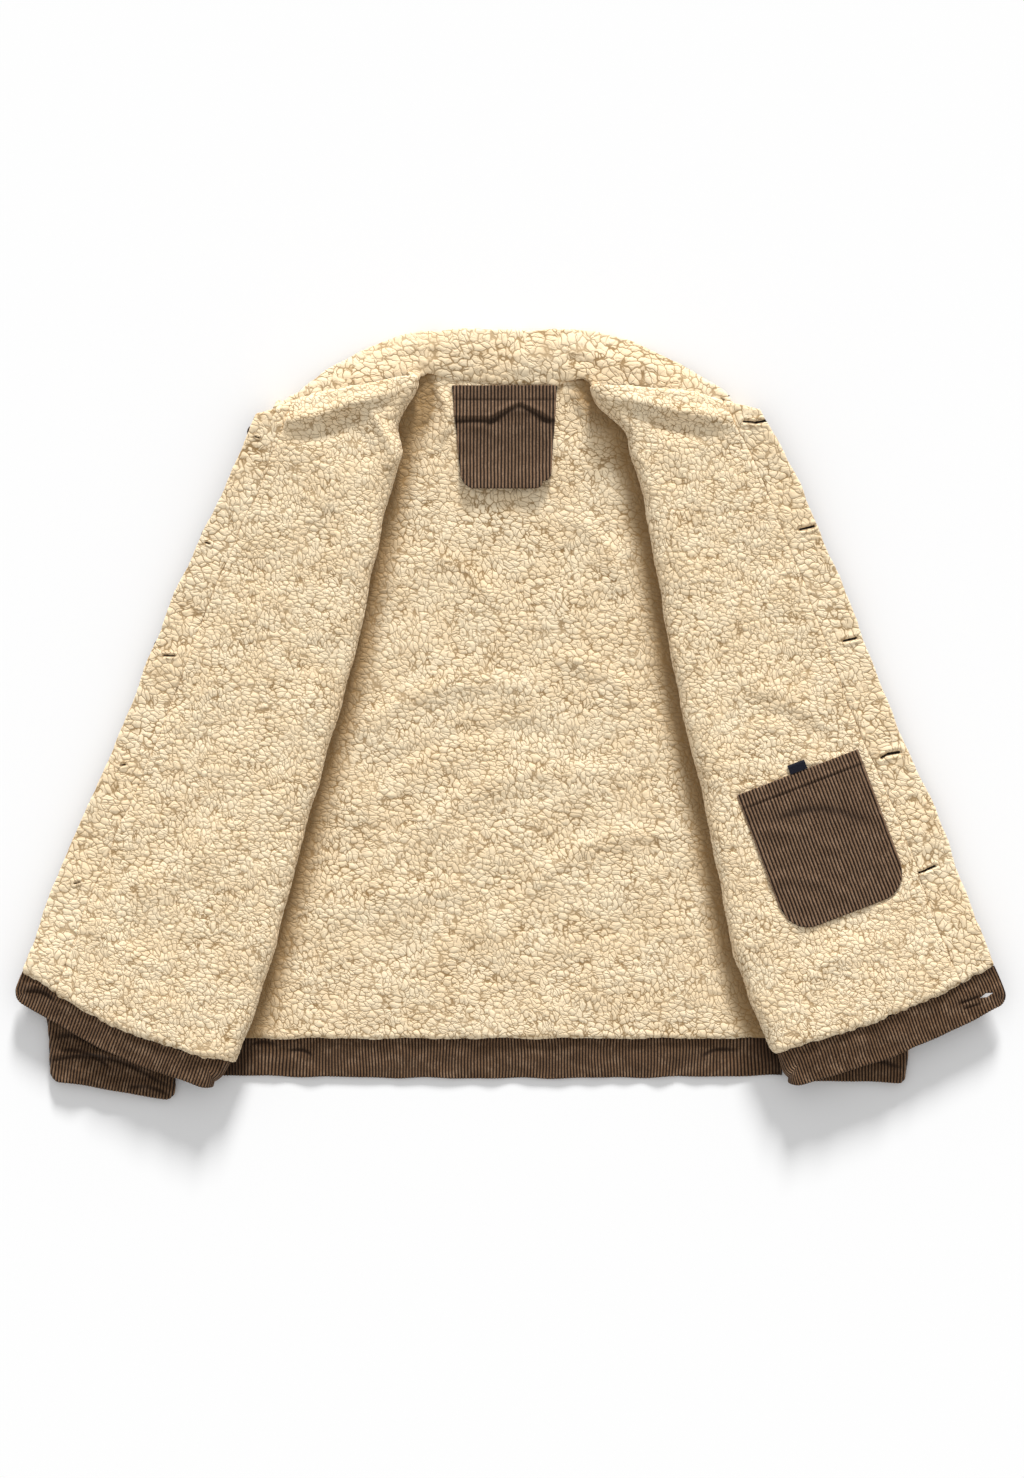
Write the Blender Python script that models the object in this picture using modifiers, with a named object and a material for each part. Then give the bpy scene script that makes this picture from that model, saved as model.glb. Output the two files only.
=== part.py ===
"""Sherpa lined corduroy jacket, laid open on its back with the lining facing up.

Metres, +Z up. The hem points to -Y and the collar to +Y; left and right are as seen from
above. The back lies flat. Each front is folded outwards along a line from the neck to the
side hem: it leaves the side seam, runs inwards over the back, rolls over and runs outwards
again with its lining up. The sleeves lie folded down beneath the opened fronts.
"""

import math
from collections import namedtuple

import bmesh
import bpy
import numpy as np
from mathutils import Matrix, Vector

# Walls, and the gap that neighbours keep
GAP = 0.0003
SHELL = 0.0016
FLEECE = 0.006
BAND = 0.0032
SLEEVE_WALL = 0.0055
CUFF_WALL = 0.0035
CUFF_SLIT = 0.003
RIBBON = 0.0009

# Heights of the layers of the back, and of the fleece above a front's shell
BACK_LINING_Z = SHELL + GAP
BACK_TOP_Z = BACK_LINING_Z + FLEECE
FLEECE_MIDDLE = SHELL / 2 + GAP + FLEECE / 2
FLEECE_TOP = SHELL / 2 + GAP + FLEECE
BAND_MIDDLE = (BAND - SHELL) / 2

# The hem, and the seam that joins the back to its waistband
HEM_SEAM_Y = -0.3220
BAND_FOOT_Y = -0.3630
BAND_FOOT_SAG = 0.003
BAND_END_LEFT = -0.281
BAND_END_RIGHT = 0.265

FACING_WIDTH = 0.040

# Back outline: half-sections from the hem seam to the shoulder tip
Side = namedtuple("Side", "y left right")
BACK_SIDES = (
    Side(-0.322, -0.285, 0.270),
    Side(-0.120, -0.283, 0.276),
    Side(0.000, -0.281, 0.278),
    Side(0.065, -0.279, 0.279),
    Side(0.110, -0.254, 0.254),
    Side(0.165, -0.238, 0.238),
    Side(0.230, -0.236, 0.236),
    Side(0.285, -0.244, 0.244),
)
UNDERARM_Y = 0.065
NECK_LEFT = (-0.097, 0.340)
NECK_RIGHT = (0.080, 0.332)
NECK_DIP = 0.005

# One row of a folded front, from the hem (share 0) to the neck (share 1), or of its waistband
# from the seam (0) to the foot (1). fold and edge are plan points, bow is how far the row
# sags towards the hem, low and top are the heights of the shell's two runs beside the roll,
# and end is its height at the front edge.
Row = namedtuple("Row", "share fold edge bow low top end")
LEFT_FRONT = (
    Row(0.000, (-0.273, -0.346), (-0.484, -0.255), 0.015, 0.0153, 0.0265, 0.0180),
    Row(0.125, (-0.243, -0.262), (-0.460, -0.184), 0.006, 0.0153, 0.0240, 0.0140),
    Row(0.250, (-0.220, -0.175), (-0.431, -0.114), 0.000, 0.0153, 0.0240, 0.0130),
    Row(0.375, (-0.197, -0.088), (-0.400, -0.046), 0.000, 0.0153, 0.0240, 0.0130),
    Row(0.500, (-0.172, -0.002), (-0.372, 0.023), 0.000, 0.0153, 0.0240, 0.0130),
    Row(0.625, (-0.149, 0.084), (-0.345, 0.094), 0.000, 0.0153, 0.0240, 0.0145),
    Row(0.750, (-0.132, 0.172), (-0.315, 0.162), 0.000, 0.0153, 0.0245, 0.0160),
    Row(0.875, (-0.111, 0.259), (-0.282, 0.230), 0.000, 0.0153, 0.0250, 0.0190),
    Row(1.000, (-0.097, 0.340), (-0.253, 0.299), -0.002, 0.0153, 0.0255, 0.0210),
)
LEFT_BAND = (
    Row(0.000, (-0.273, -0.346), (-0.484, -0.255), 0.015, 0.0153, 0.0265, 0.0180),
    Row(1.000, (-0.291, -0.376), (-0.4975, -0.281), 0.009, 0.0090, 0.0250, 0.0175),
)
RIGHT_FRONT = (
    Row(0.000, (0.262, -0.336), (0.483, -0.249), 0.009, 0.0153, 0.0265, 0.0180),
    Row(0.125, (0.228, -0.256), (0.454, -0.179), 0.004, 0.0153, 0.0240, 0.0140),
    Row(0.250, (0.210, -0.170), (0.430, -0.108), 0.000, 0.0153, 0.0240, 0.0130),
    Row(0.375, (0.193, -0.084), (0.398, -0.039), 0.000, 0.0153, 0.0240, 0.0130),
    Row(0.500, (0.172, 0.001), (0.369, 0.030), 0.000, 0.0153, 0.0240, 0.0130),
    Row(0.625, (0.156, 0.087), (0.343, 0.100), 0.000, 0.0153, 0.0240, 0.0145),
    Row(0.750, (0.141, 0.173), (0.314, 0.169), 0.000, 0.0153, 0.0245, 0.0160),
    Row(0.875, (0.122, 0.259), (0.284, 0.239), 0.000, 0.0153, 0.0250, 0.0190),
    Row(1.000, (0.080, 0.330), (0.249, 0.304), -0.005, 0.0153, 0.0255, 0.0210),
)
RIGHT_BAND = (
    Row(0.000, (0.262, -0.336), (0.483, -0.249), 0.009, 0.0153, 0.0265, 0.0180),
    Row(1.000, (0.270, -0.373), (0.4975, -0.286), 0.009, 0.0090, 0.0250, 0.0175),
)
LEAST_TUCK = 0.0015
SEAM_MARGIN = 0.003
SHELL_HEM = 0.001
FLEECE_HEM = 0.004
BAND_TOP = 0.010
FRONT_ROWS = 15
BAND_ROWS = 3
LOWER_STEPS = 2
ROLL_STEPS = 8
UPPER_STEPS = 6

# Sleeve and cuff corners in plan. foot is the cuff's open edge, wrist its seam to the sleeve.
Sleeve = namedtuple("Sleeve", "side foot_outer foot_inner wrist_outer wrist_inner")
SLEEVES = {
    "left": Sleeve(-1, (-0.4575, -0.365), (-0.336, -0.385), (-0.463, -0.302), (-0.3315, -0.320)),
    "right": Sleeve(1, (0.3940, -0.367), (0.289, -0.365), (0.4010, -0.303), (0.2890, -0.301)),
}
CUFF_END_STEPS = 6
ARMHOLE_CLEARANCE = 0.0010
WRIST_GAP = 0.0008

# Collar stations from its left tip to its right tip: the seam's plan point, the free edge's
# plan point, the height of the under collar's lower face at the seam and how far it crowns.
Station = namedtuple("Station", "seam free lift crown")
COLLAR = (
    Station((-0.2300, 0.3095), (-0.228, 0.3110), 0.0110, 0.0000),
    Station((-0.2050, 0.3160), (-0.207, 0.3230), 0.0120, 0.0005),
    Station((-0.1800, 0.3240), (-0.184, 0.3400), 0.0120, 0.0010),
    Station((-0.1500, 0.3320), (-0.153, 0.3590), 0.0110, 0.0020),
    Station((-0.1200, 0.3390), (-0.121, 0.3720), 0.0080, 0.0030),
    Station((-0.0960, 0.3450), (-0.089, 0.3810), 0.0040, 0.0040),
    Station((-0.0600, 0.3375), (-0.058, 0.3833), 0.0015, 0.0040),
    Station((-0.0080, 0.3340), (-0.008, 0.3833), 0.0010, 0.0035),
    Station((0.0440, 0.3340), (0.045, 0.3833), 0.0015, 0.0040),
    Station((0.0800, 0.3370), (0.082, 0.3820), 0.0050, 0.0040),
    Station((0.1120, 0.3350), (0.122, 0.3710), 0.0090, 0.0030),
    Station((0.1500, 0.3290), (0.155, 0.3540), 0.0115, 0.0020),
    Station((0.1850, 0.3235), (0.188, 0.3370), 0.0120, 0.0010),
    Station((0.2180, 0.3170), (0.221, 0.3185), 0.0110, 0.0000),
)
COLLAR_COLUMNS = 5
COLLAR_STEEPEST = 0.25

# Neck patch: sewn in the neck seam, hanging over the back lining and lifting at its foot
PATCH_TOP_Y = 0.3290
PATCH_FOOT_Y = 0.2255
PATCH_TOP = (-0.058, 0.047)
PATCH_FOOT = (-0.048, 0.040)
PATCH_CORNER = 0.014
PATCH_LIFT = 0.0025

# Inside pocket, on the right front
POCKET_CORNER = (0.226, -0.080)
POCKET_TURN = math.radians(20.8)
POCKET_WIDTH = 0.129
POCKET_DEPTH = 0.150
POCKET_RADIUS = 0.030
LOOP_PLACE = 0.066
LOOP_WIDTH = 0.018
LOOP_REACH = 0.0085

# Buttons under the left front's edge, and their slits in the right front
BUTTON_SHARES = (0.165, 0.375, 0.580, 0.780, 0.965)
BAND_BUTTON_SHARE = 0.45
BUTTON_INSET = 0.0080
BUTTON_RADIUS = 0.0085
BUTTON_HEIGHT = 0.0038
BUTTON_STEPS = 20
SLIT_INSET = 0.0200
SLIT_LENGTH = 0.0210
SLIT_WIDTH = 0.0012
SLIT_HEIGHT = 0.0300

CORDUROY = (0.165, 0.080, 0.036)
CORDUROY_INSIDE = (0.150, 0.080, 0.050)
SHERPA = (0.86, 0.72, 0.50)
NAVY = (0.012, 0.012, 0.025)
BUTTON_BROWN = (0.030, 0.016, 0.010)


def new_collection(name):
    collection = bpy.data.collections.new(name)
    bpy.context.scene.collection.children.link(collection)
    return collection


def clear_scene():
    for obj in list(bpy.data.objects):
        bpy.data.objects.remove(obj, do_unlink=True)
    for collection in list(bpy.data.collections):
        bpy.data.collections.remove(collection)


def material(name, colour, roughness):
    made = bpy.data.materials.new(name)
    made.use_nodes = True
    shader = made.node_tree.nodes["Principled BSDF"]
    shader.inputs["Base Color"].default_value = (*colour, 1.0)
    shader.inputs["Roughness"].default_value = roughness
    shader.inputs["Metallic"].default_value = 0.0
    return made


def add(name, data, colour, roughness=0.9):
    obj = bpy.data.objects.new(name, data)
    bpy.data.collections["sherpa_lined_jacket"].objects.link(obj)
    data.materials.append(material(name, colour, roughness))
    return obj


def panel(name, points, thickness, colour, tube=False):
    """A cloth wall around rows of points, which lie in the middle of its thickness."""
    bm = bmesh.new()
    rows = [[bm.verts.new(point) for point in row] for row in points]
    if tube:
        rows = [row + row[:1] for row in rows]
    for near, far in zip(rows, rows[1:]):
        for column in range(len(near) - 1):
            bm.faces.new((near[column], near[column + 1], far[column + 1], far[column]))
    mesh = bpy.data.meshes.new(name)
    bm.to_mesh(mesh)
    bm.free()
    mesh.shade_smooth()
    obj = add(name, mesh, colour)
    wall = obj.modifiers.new("wall", "SOLIDIFY")
    wall.thickness = thickness
    wall.offset = 0.0
    wall.use_even_offset = True
    return obj


def plate(name, outline, low, thickness, colour):
    """A flat cloth panel of a plan outline, lying between two heights."""
    curve = bpy.data.curves.new(name, "CURVE")
    curve.dimensions = "2D"
    curve.fill_mode = "BOTH"
    curve.extrude = thickness / 2
    spline = curve.splines.new("POLY")
    spline.points.add(len(outline) - 1)
    for point, (x, y) in zip(spline.points, outline):
        point.co = (x, y, 0.0, 1.0)
    spline.use_cyclic_u = True
    obj = add(name, curve, colour)
    obj.location.z = low + thickness / 2
    return obj


def between(start, end, share):
    return tuple(a + (b - a) * share for a, b in zip(start, end))


def smooth_step(share):
    return share * share * (3.0 - 2.0 * share)


def curve_through(shares, values, share):
    """The value at a share, on a smooth curve through a table's values."""
    values = np.array(values, float)
    slopes = np.gradient(values, shares, axis=0)
    index = int(np.clip(np.searchsorted(shares, share) - 1, 0, len(shares) - 2))
    step = shares[index + 1] - shares[index]
    t = (share - shares[index]) / step
    return (
        values[index] * (1 + 2 * t) * (1 - t) ** 2
        + values[index + 1] * t * t * (3 - 2 * t)
        + step * slopes[index] * t * (1 - t) ** 2
        - step * slopes[index + 1] * t * t * (1 - t)
    )


def row_at(table, share):
    shares = [row.share for row in table]
    flat = [(*row.fold, *row.edge, row.bow, row.low, row.top, row.end) for row in table]
    found = curve_through(shares, flat, share)
    return Row(share, Vector(found[0:2]), Vector(found[2:4]), *found[4:8])


def side_x(y, side):
    """Where the back's side seam or armhole lies at a height up the back."""
    heights = [row.y for row in BACK_SIDES]
    places = [row.left if side < 0 else row.right for row in BACK_SIDES]
    return float(np.interp(y, heights, places))


def folded(table, side, share, place):
    """A point in the middle of a front's shell, and the side that its lining is on.

    place runs from -1 at the side seam to 0 where the roll starts, 1 where it ends and 2 at
    the front edge.
    """
    row = row_at(table, share)
    run = (row.edge - row.fold).length
    out = (row.edge - row.fold) / run
    across = Vector((-out.y, out.x)) if side < 0 else Vector((out.y, -out.x))
    radius = (row.top - row.low) / 2
    centre = FLEECE_TOP + radius
    tuck = centre + LEAST_TUCK
    for _ in range(6):
        seam = side_x(row.fold.y + tuck * out.y, side) - side * SEAM_MARGIN
        tuck = max(centre + LEAST_TUCK, (seam - row.fold.x) / out.x)
    if place <= 0:
        along = centre - place * (tuck - centre)
        height = row.low
        normal = (0.0, -1.0)
    elif place < 1:
        angle = math.pi * place
        along = centre - radius * math.sin(angle)
        height = (row.low + row.top) / 2 - radius * math.cos(angle)
        normal = (-math.sin(angle), -math.cos(angle))
    else:
        share_out = place - 1
        along = centre + share_out * (run - centre)
        height = row.top + (row.end - row.top) * smooth_step(share_out)
        normal = (0.0, 1.0)
    sag = row.bow * math.sin(math.pi * min(max(along / run, 0.0), 1.0))
    plan = row.fold + out * along + across * sag
    return (plan.x, plan.y, height), (out.x * normal[0], out.y * normal[0], normal[1])


def raised(rows, distance, facing=(0.0, 0.0, 1.0)):
    """Rows of points moved off their own surface, to the side that facing points to."""
    grid = np.array(rows, float)
    normals = np.cross(np.gradient(grid, axis=0), np.gradient(grid, axis=1))
    normals *= np.sign((normals * facing).sum(axis=2, keepdims=True))
    normals /= np.linalg.norm(normals, axis=2, keepdims=True)
    return grid + normals * distance


def cloth(table, side, row_shares, places, distance):
    """A grid over a folded front, at a distance from its shell's middle.

    places gives each row's columns.
    """
    found = [
        [folded(table, side, share, place) for place in places(share)] for share in row_shares
    ]
    points = [[point for point, _ in row] for row in found]
    facing = np.array([[facing for _, facing in row] for row in found])
    return raised(points, distance, facing)


def whole_row(share=0.0):
    lower = [-1.0 + step / LOWER_STEPS for step in range(LOWER_STEPS)]
    roll = [step / ROLL_STEPS for step in range(ROLL_STEPS)]
    return lower + roll + [1.0 + step / UPPER_STEPS for step in range(UPPER_STEPS + 1)]


def lining_row(table, share):
    """A row's columns with those on both sides of the facing's seam."""
    row = row_at(table, share)
    half_gap = GAP / 2 / (row.edge - row.fold).length
    seam = 2.0 - FACING_WIDTH / (row.edge - row.fold).length
    lower = whole_row()[: LOWER_STEPS + ROLL_STEPS]
    run = [1.0 + (seam - half_gap - 1.0) * step / UPPER_STEPS for step in range(UPPER_STEPS + 1)]
    return lower + run + [seam + half_gap, (seam + 2.0) / 2, 2.0]


def front(side_name, side, table, band):
    """A front's shell, lining and facing, and its length of the waistband."""
    shell_rows = np.linspace(SHELL_HEM, 1.0, FRONT_ROWS)
    fleece_rows = np.linspace(FLEECE_HEM, 1.0, FRONT_ROWS)
    band_rows = np.linspace(BAND_TOP, 1.0, BAND_ROWS)
    shell = cloth(table, side, shell_rows, whole_row, 0.0)
    panel("front_shell_" + side_name, shell, SHELL, CORDUROY)
    fleece = cloth(table, side, fleece_rows, lambda at: lining_row(table, at), FLEECE_MIDDLE)
    panel("front_lining_" + side_name, fleece[:, :-3], FLEECE, SHERPA)
    panel("front_facing_" + side_name, fleece[:, -3:], FLEECE, SHERPA)
    strip = cloth(band, side, band_rows, whole_row, BAND_MIDDLE)
    panel("waistband_" + side_name, strip, BAND, CORDUROY)


def back_outline():
    sides = [(row.left, row.y) for row in BACK_SIDES]
    neck = []
    for step in range(9):
        x, y = between(NECK_LEFT, NECK_RIGHT, step / 8)
        neck.append((x, y - NECK_DIP * math.sin(math.pi * step / 8)))
    return sides + neck + [(row.right, row.y) for row in reversed(BACK_SIDES)]


def back():
    outline = back_outline()
    plate("back_shell", outline, 0.0, SHELL, CORDUROY)
    plate("back_lining", outline, BACK_LINING_Z, FLEECE, SHERPA)
    top = HEM_SEAM_Y - GAP
    foot = []
    for step in range(9):
        x = BAND_END_RIGHT + (BAND_END_LEFT - BAND_END_RIGHT) * step / 8
        foot.append((x, BAND_FOOT_Y + BAND_FOOT_SAG * (1 - math.sin(math.pi * step / 8))))
    band = [(BAND_END_LEFT, top), (BAND_END_RIGHT, top)] + foot
    plate("waistband_back", band, 0.0, BAND, CORDUROY)


def sleeve(side_name, cut):
    """A sleeve's two panels, lying on each other from the armhole to the wrist seam."""
    rows = [row for row in BACK_SIDES if row.y >= UNDERARM_Y]
    clear = ARMHOLE_CLEARANCE * cut.side
    head = [((row.left if cut.side < 0 else row.right) + clear, row.y) for row in rows]
    wrist_gap = Vector((0.0, WRIST_GAP))
    wrist = [Vector(cut.wrist_outer) + wrist_gap, Vector(cut.wrist_inner) + wrist_gap]
    outline = head + [tuple(point) for point in wrist]
    plate("sleeve_under_" + side_name, outline, 0.0, SLEEVE_WALL, CORDUROY)
    plate("sleeve_top_" + side_name, outline, SLEEVE_WALL + GAP, SLEEVE_WALL, CORDUROY)


def cuff(side_name, cut):
    """A flattened ring of corduroy, open at the hand and at the sleeve."""
    radius = (CUFF_SLIT + CUFF_WALL) / 2
    rows = []
    for share in (0.0, 0.5, 1.0):
        outer = Vector(between(cut.foot_outer, cut.wrist_outer, share))
        inner = Vector(between(cut.foot_inner, cut.wrist_inner, share))
        run = (inner - outer).normalized()
        ends = (outer + run * (CUFF_WALL / 2 + radius), inner - run * (CUFF_WALL / 2 + radius))
        ring = []
        for centre, facing in zip(ends, (-1, 1)):
            for step in range(CUFF_END_STEPS + 1):
                angle = math.pi * (step / CUFF_END_STEPS - 0.5)
                plan = centre + run * facing * radius * math.cos(angle)
                lift = -facing * radius * math.sin(angle)
                ring.append(Vector((plan.x, plan.y, CUFF_WALL / 2 + radius - lift)))
        rows.append(ring)
    panel("cuff_" + side_name, rows, CUFF_WALL, CORDUROY, tube=True)


def collar():
    """The under collar and the fleece top collar, lying beyond the neck seam."""
    rows = []
    for station in COLLAR:
        width = math.dist(station.seam, station.free)
        drop = min(station.lift, COLLAR_STEEPEST * width)
        row = []
        for column in range(COLLAR_COLUMNS):
            share = column / (COLLAR_COLUMNS - 1)
            x, y = between(station.seam, station.free, share)
            height = station.lift - drop * smooth_step(share)
            height += station.crown * math.sin(math.pi * share)
            row.append((x, y, height))
        rows.append(row)
    panel("collar_under", raised(rows, SHELL / 2), SHELL, CORDUROY)
    panel("collar_top", raised(rows, SHELL + 2 * GAP + FLEECE / 2), FLEECE, SHERPA)


def rounded_foot(depth, down, radius):
    """How far a side draws in near the foot of a patch with rounded lower corners."""
    into = down - (depth - radius)
    return radius - math.sqrt(max(radius**2 - into**2, 0.0)) if into > 0 else 0.0


def neck_patch():
    depth = PATCH_TOP_Y - PATCH_FOOT_Y
    rows = []
    for share in (0.0, 0.3, 0.6, 0.86, 0.93, 0.97, 0.995):
        down = depth * share
        left = PATCH_TOP[0] + (PATCH_FOOT[0] - PATCH_TOP[0]) * share
        right = PATCH_TOP[1] + (PATCH_FOOT[1] - PATCH_TOP[1]) * share
        draw = rounded_foot(depth, down, PATCH_CORNER)
        height = BACK_TOP_Z + GAP + SHELL / 2 + PATCH_LIFT * share**2
        xs = np.linspace(left + draw, right - draw, 7)
        rows.append([Vector((x, PATCH_TOP_Y - down, height)) for x in xs])
    panel("neck_patch", rows, SHELL, CORDUROY_INSIDE)


def on_lining(table, side, plan, above):
    """The point above a plan point on a front's upper run, at a height over its lining."""
    low, high = 0.0, 1.0
    for _ in range(24):
        share = (low + high) / 2
        row = row_at(table, share)
        run = (row.edge - row.fold).length
        out = (row.edge - row.fold) / run
        along = (plan - row.fold).dot(out)
        beyond = (plan - row.fold).dot(Vector((-out.y, out.x)) * -side)
        beyond -= row.bow * math.sin(math.pi * min(max(along / run, 0.0), 1.0))
        low, high = (low, share) if beyond > 0 else (share, high)
    centre = FLEECE_TOP + (row.top - row.low) / 2
    point, _ = folded(table, side, share, 1.0 + (along - centre) / (run - centre))
    return (plan.x, plan.y, point[2] + FLEECE_TOP + above)


def pocket_plan(across, down):
    turn = Vector((math.cos(POCKET_TURN), math.sin(POCKET_TURN)))
    foot = Vector((turn.y, -turn.x))
    return Vector(POCKET_CORNER) + turn * across + foot * down


def inside_pocket():
    rows = []
    for down in (0.0, 0.03, 0.06, 0.09, 0.12, 0.134, 0.143, 0.1475, 0.1495):
        draw = rounded_foot(POCKET_DEPTH, down, POCKET_RADIUS)
        xs = np.linspace(draw, POCKET_WIDTH - draw, 9)
        row = []
        for across in xs:
            plan = pocket_plan(across, down)
            row.append(on_lining(RIGHT_FRONT, 1, plan, GAP + SHELL / 2))
        rows.append(row)
    panel("inside_pocket", rows, SHELL, CORDUROY_INSIDE)


def pocket_loop():
    """A ribbon folded on itself, standing out past the pocket's top edge."""
    rows = []
    lower = GAP + RIBBON / 2
    path = [(0.0, 0.0), (0.5, 0.0), (0.86, 0.0), (1.0, 0.8), (0.86, 1.6), (0.5, 1.6), (0.0, 1.6)]
    for across in (0.0, 0.5, 1.0):
        row = []
        for reach, rise in path:
            plan = pocket_plan(
                LOOP_PLACE + (across - 0.5) * LOOP_WIDTH, -GAP - reach * LOOP_REACH
            )
            row.append(on_lining(RIGHT_FRONT, 1, plan, lower + rise * RIBBON))
        rows.append(row)
    panel("pocket_loop", rows, RIBBON, NAVY)


def edge_frame(table, side, share, inset, offset):
    """A frame near the front edge: origin, direction to the edge, along it, lining's side."""
    row = row_at(table, share)
    run = (row.edge - row.fold).length
    place = 2.0 - inset / run
    near, far = [Vector(folded(table, side, share, at)[0]) for at in (place - 0.01, place + 0.01)]
    up = Vector(folded(table, side, share + 0.01, place)[0])
    out = (far - near).normalized()
    normal = out.cross(up - (near + far) / 2).normalized()
    normal *= math.copysign(1.0, normal.z)
    point = (near + far) / 2 + normal * offset
    frame = Matrix((out, normal.cross(out), normal)).transposed().to_4x4()
    frame.translation = point
    return frame


def button(index, table, share):
    """A turned button hanging from the shell, its domed face down."""
    curve = [
        (0.0, 0.0),
        (0.25, 0.0),
        (0.30, 0.22),
        (0.94, 0.30),
        (1.00, 0.55),
        (0.93, 1.00),
        (0.72, 1.00),
        (0.60, 0.84),
        (0.0, 0.80),
    ]
    name = "button_" + str(index)
    mesh = bpy.data.meshes.new(name)
    points = [(r * BUTTON_RADIUS, 0.0, -z * BUTTON_HEIGHT) for r, z in curve]
    mesh.from_pydata(points, [(i, i + 1) for i in range(len(points) - 1)], [])
    obj = add(name, mesh, BUTTON_BROWN, 0.45)
    turn = obj.modifiers.new("turn", "SCREW")
    turn.steps = BUTTON_STEPS
    turn.render_steps = BUTTON_STEPS
    turn.use_merge_vertices = True
    turn.merge_threshold = 0.00005
    turn.use_normal_calculate = True
    obj.matrix_world = edge_frame(table, -1, share, BUTTON_INSET, -SHELL / 2 - GAP)


def buttonhole(index, table, share, names):
    """A slit through the shell and facing, or through the waistband."""
    bpy.ops.mesh.primitive_cube_add(size=1.0)
    cutter = bpy.context.active_object
    cutter.name = "buttonhole_cutter_" + str(index)
    for holder in list(cutter.users_collection):
        holder.objects.unlink(cutter)
    bpy.data.collections["cutters"].objects.link(cutter)
    cutter.data.transform(Matrix.Diagonal((SLIT_LENGTH, SLIT_WIDTH, SLIT_HEIGHT, 1.0)))
    cutter.matrix_world = edge_frame(table, 1, share, SLIT_INSET, FLEECE / 2)
    cutter.hide_render = True
    cutter.display_type = "WIRE"
    for name in names:
        cut = bpy.data.objects[name].modifiers.new("buttonhole_" + str(index), "BOOLEAN")
        cut.operation = "DIFFERENCE"
        cut.object = cutter


def fastenings():
    for index, share in enumerate(BUTTON_SHARES):
        button(index + 1, LEFT_FRONT, share)
        buttonhole(index + 1, RIGHT_FRONT, share, ("front_shell_right", "front_facing_right"))
    button(len(BUTTON_SHARES) + 1, LEFT_BAND, BAND_BUTTON_SHARE)
    buttonhole(
        len(BUTTON_SHARES) + 1, RIGHT_BAND, BAND_BUTTON_SHARE, ("waistband_right",)
    )


def main():
    clear_scene()
    new_collection("sherpa_lined_jacket")
    new_collection("cutters")
    back()
    front("left", -1, LEFT_FRONT, LEFT_BAND)
    front("right", 1, RIGHT_FRONT, RIGHT_BAND)
    for side_name, cut in SLEEVES.items():
        sleeve(side_name, cut)
        cuff(side_name, cut)
    collar()
    neck_patch()
    inside_pocket()
    pocket_loop()
    fastenings()


main()
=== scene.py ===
"""Looks of a sherpa lined corduroy jacket, laid open on its back.

Each cloth piece starts as an even, rounded copy of its CAD solid. The fleece is then raised
into curls by geometry nodes, and the corduroy into ribs. The same node networks colour them,
so that the colour follows the shape, with painted shade in the crevices and grooves.
"""

import math
from collections import namedtuple

import bpy
import numpy as np
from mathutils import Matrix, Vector
from mathutils.bvhtree import BVHTree


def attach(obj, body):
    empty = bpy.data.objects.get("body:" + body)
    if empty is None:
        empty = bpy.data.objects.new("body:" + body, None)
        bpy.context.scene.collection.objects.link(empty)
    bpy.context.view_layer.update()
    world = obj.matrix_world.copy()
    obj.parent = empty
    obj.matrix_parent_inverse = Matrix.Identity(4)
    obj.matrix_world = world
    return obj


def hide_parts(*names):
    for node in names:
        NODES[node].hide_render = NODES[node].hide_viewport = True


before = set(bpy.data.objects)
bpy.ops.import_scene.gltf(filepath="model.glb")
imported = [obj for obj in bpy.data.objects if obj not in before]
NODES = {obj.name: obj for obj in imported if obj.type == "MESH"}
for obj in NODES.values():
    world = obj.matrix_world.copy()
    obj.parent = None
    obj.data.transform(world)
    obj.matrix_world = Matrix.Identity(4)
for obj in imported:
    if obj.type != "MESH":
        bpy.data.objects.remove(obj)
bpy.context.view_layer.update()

# Fleece: a curl's width, its width over its length, how far the curls are bent out of line,
# how high the pile rises in the mesh, and how high in the bump on top of it
CURL = 0.0047
CURL_STRETCH = 0.56
WARP = 0.0060
PILE_RISE = 0.0017
PILE_BUMP = 0.0015

# The slow swell under the pile: its height and its width
SWELL_RISE = 0.0008
SWELL_WIDTH = 0.030

# A parted slit in the fleece: how far it sinks, and how far its lips rise
SLIT_DEPTH = 0.0045
LIP_RISE = 0.0010

# The patch's loose foot: where it starts to lift, where it ends, and how far it lifts
PATCH_BEND = 0.262
PATCH_FOOT = 0.2255
PATCH_RAISE = 0.0042

# The trough depth in corduroy that gets the darkest painted shade
DARKEST_TROUGH = 0.0009

# Painted shadow on the back near these pieces: it starts at the reach and is darkest at the core
ROLLED = ("front_lining_left", "front_lining_right", "waistband_left", "waistband_right")
SHADOW_REACH = 0.032
SHADOW_CORE = 0.009

# A spot of painted shade in the back's fleece, left of the patch: its middle and its half widths
SHADE_SPOT_MIDDLE = (-0.084, 0.306)
SHADE_SPOT_SIZE = (0.011, 0.024)

# The slit through the right waistband: its ends and its width
BAND_SLIT = ((0.467, -0.2830), (0.482, -0.2775), 0.0046)

# How far the back waistband's ends are drawn out, under the fronts' waistbands
BAND_TUCK = 0.0065

# How far the cloth's edges wander to either side
WAVE = 0.0005

# Corduroy ribs: their pitch on the patches and elsewhere, and their height
PATCH_WALE = 0.00345
WALE = 0.0031
WALE_RISE = 0.00045
RIB_BUMP = 0.0009

# How near a neighbour lies where a surface is left plain, and where it has its full pile
TOUCHING = 0.0012
CLEAR = 0.0035
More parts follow.
